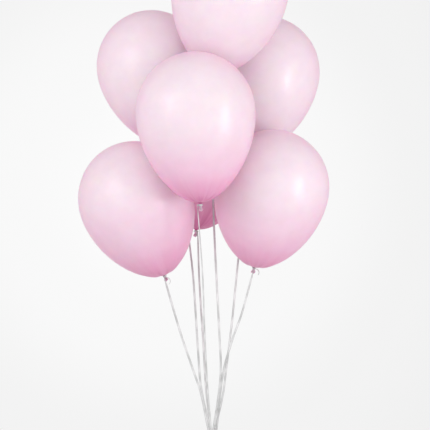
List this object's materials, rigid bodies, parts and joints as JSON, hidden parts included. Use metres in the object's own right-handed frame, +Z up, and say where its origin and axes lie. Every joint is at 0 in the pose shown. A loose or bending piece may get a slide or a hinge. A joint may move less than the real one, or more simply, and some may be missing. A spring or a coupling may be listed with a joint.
{
  "type": "latex balloon bunch",
  "caption": "Bunch of round pink latex balloons, each tied off with white curling ribbon, their taut ribbons gathered in one knot below.",
  "frame": {"origin": "centre of the gather knot, where a hand or a weight holds the bunch", "axes": "+Z up along the bunch, +X to the right of someone who faces the front balloon, +Y away from them"},
  "size_m": [0.5949, 0.7608, 1.2757],
  "materials": {
    "latex": "satin pearl pink latex, thin and slightly translucent",
    "ribbon": "white satin curling ribbon with fine ribs along it"
  },
  "bodies": {
    "gather": {"gather_knot": "ribbon", "gather_tails": "ribbon", "top_ribbon": "ribbon"},
    "front_run": {"front_ribbon": "ribbon"},
    "front_collar": {"front_tie": "ribbon"},
    "front_balloon": {"front_envelope": "latex", "front_lip": "latex"},
    "top_collar": {"top_tie": "ribbon"},
    "top_balloon": {"top_envelope": "latex", "top_lip": "latex"},
    "upper_left_run": {"upper_left_ribbon": "ribbon"},
    "upper_left_collar": {"upper_left_tie": "ribbon"},
    "upper_left_balloon": {"upper_left_envelope": "latex", "upper_left_lip": "latex"},
    "upper_right_run": {"upper_right_ribbon": "ribbon"},
    "upper_right_collar": {"upper_right_tie": "ribbon"},
    "upper_right_balloon": {"upper_right_envelope": "latex", "upper_right_lip": "latex"},
    "lower_left_run": {"lower_left_ribbon": "ribbon"},
    "lower_left_collar": {"lower_left_tie": "ribbon"},
    "lower_left_balloon": {"lower_left_envelope": "latex", "lower_left_lip": "latex"},
    "lower_right_run": {"lower_right_ribbon": "ribbon"},
    "lower_right_collar": {"lower_right_tie": "ribbon"},
    "lower_right_balloon": {"lower_right_envelope": "latex", "lower_right_lip": "latex"},
    "back_run": {"back_ribbon": "ribbon"},
    "back_collar": {"back_tie": "ribbon"},
    "back_balloon": {"back_envelope": "latex", "back_lip": "latex"}
  },
  "joints": [
    {"name": "front_swing", "type": "hinge", "parent": "gather", "child": "front_run", "pos_m": [0, 0, 0], "axis": [1, 0, 0], "range_deg": [0, 12], "stiffness_Nm_per_rad": 0.1237, "springref_deg": -18.88},
    {"name": "front_nod", "type": "hinge", "parent": "front_run", "child": "front_collar", "pos_m": [-0.03499, -0.26705, 0.59051], "axis": [1, 0, 0], "range_deg": [0, 12], "stiffness_Nm_per_rad": 0.0322, "springref_deg": -2.01},
    {"name": "front_spin", "type": "hinge", "parent": "front_collar", "child": "front_balloon", "pos_m": [-0.02801, -0.26582, 0.59092], "axis": [-0.0524, -0.035, 0.998], "continuous": true},
    {"name": "top_nod", "type": "hinge", "parent": "gather", "child": "top_collar", "pos_m": [-0.00131, -0.14736, 0.89554], "axis": [0.2588, 0.9659, 0], "range_deg": [0, 12], "stiffness_Nm_per_rad": 0.0322, "springref_deg": -14.7},
    {"name": "top_spin", "type": "hinge", "parent": "top_collar", "child": "top_balloon", "pos_m": [-0.00098, -0.14044, 0.8971], "axis": [0.2024, -0.2247, 0.9532], "continuous": true},
    {"name": "upper_left_swing", "type": "hinge", "parent": "gather", "child": "upper_left_run", "pos_m": [0, 0, 0], "axis": [-0.5736, -0.8192, 0], "range_deg": [0, 12], "stiffness_Nm_per_rad": 0.1437, "springref_deg": -6.77},
    {"name": "upper_left_nod", "type": "hinge", "parent": "upper_left_run", "child": "upper_left_collar", "pos_m": [-0.08266, -0.00692, 0.72946], "axis": [-0.5736, -0.8192, 0], "range_deg": [0, 12], "stiffness_Nm_per_rad": 0.0322, "springref_deg": -11.68},
    {"name": "upper_left_spin", "type": "hinge", "parent": "upper_left_collar", "child": "upper_left_balloon", "pos_m": [-0.08285, 0.00016, 0.73005], "axis": [-0.3082, -0.0872, 0.9473], "continuous": true},
    {"name": "upper_right_swing", "type": "hinge", "parent": "gather", "child": "upper_right_run", "pos_m": [0, 0, 0], "axis": [-0.5, 0.866, 0], "range_deg": [0, 12], "stiffness_Nm_per_rad": 0.1426, "springref_deg": -8.16},
    {"name": "upper_right_nod", "type": "hinge", "parent": "upper_right_run", "child": "upper_right_collar", "pos_m": [0.08853, 0.03446, 0.71608], "axis": [-0.5, 0.866, 0], "range_deg": [0, 12], "stiffness_Nm_per_rad": 0.0322, "springref_deg": -11.5},
    {"name": "upper_right_spin", "type": "hinge", "parent": "upper_right_collar", "child": "upper_right_balloon", "pos_m": [0.08863, 0.02738, 0.71657], "axis": [0.19, 0.0698, 0.9793], "continuous": true},
    {"name": "lower_left_swing", "type": "hinge", "parent": "gather", "child": "lower_left_run", "pos_m": [0, 0, 0], "axis": [0, -1, 0], "range_deg": [0, 12], "stiffness_Nm_per_rad": 0.0937, "springref_deg": -16.91},
    {"name": "lower_left_nod", "type": "hinge", "parent": "lower_left_run", "child": "lower_left_collar", "pos_m": [-0.11855, -0.04015, 0.4183], "axis": [0, -1, 0], "range_deg": [0, 12], "stiffness_Nm_per_rad": 0.0322, "springref_deg": -18.76},
    {"name": "lower_left_spin", "type": "hinge", "parent": "lower_left_collar", "child": "lower_left_balloon", "pos_m": [-0.11705, -0.03388, 0.42128], "axis": [-0.3216, -0.3423, 0.8829], "continuous": true},
    {"name": "lower_right_swing", "type": "hinge", "parent": "gather", "child": "lower_right_run", "pos_m": [0, 0, 0], "axis": [0.5, 0.866, 0], "range_deg": [0, 12], "stiffness_Nm_per_rad": 0.0979, "springref_deg": -15.59},
    {"name": "lower_right_nod", "type": "hinge", "parent": "lower_right_run", "child": "lower_right_collar", "pos_m": [0.09902, -0.04544, 0.43839], "axis": [0.5, 0.866, 0], "range_deg": [0, 12], "stiffness_Nm_per_rad": 0.0322, "springref_deg": -19.89},
    {"name": "lower_right_spin", "type": "hinge", "parent": "lower_right_collar", "child": "lower_right_balloon", "pos_m": [0.09953, -0.03877, 0.44076], "axis": [0.1952, -0.3423, 0.9191], "continuous": true},
    {"name": "back_swing", "type": "hinge", "parent": "gather", "child": "back_run", "pos_m": [0, 0, 0], "axis": [-0.9848, -0.1736, 0], "range_deg": [0, 12], "stiffness_Nm_per_rad": 0.1131, "springref_deg": -16.74},
    {"name": "back_nod", "type": "hinge", "parent": "back_run", "child": "back_collar", "pos_m": [-0.03966, 0.18611, 0.52614], "axis": [-0.9848, -0.1736, 0], "range_deg": [0, 12], "stiffness_Nm_per_rad": 0.0322, "springref_deg": -6.51},
    {"name": "back_spin", "type": "hinge", "parent": "back_collar", "child": "back_balloon", "pos_m": [-0.04473, 0.19108, 0.52615], "axis": [0.138, 0.1394, 0.9806], "continuous": true}
  ]
}
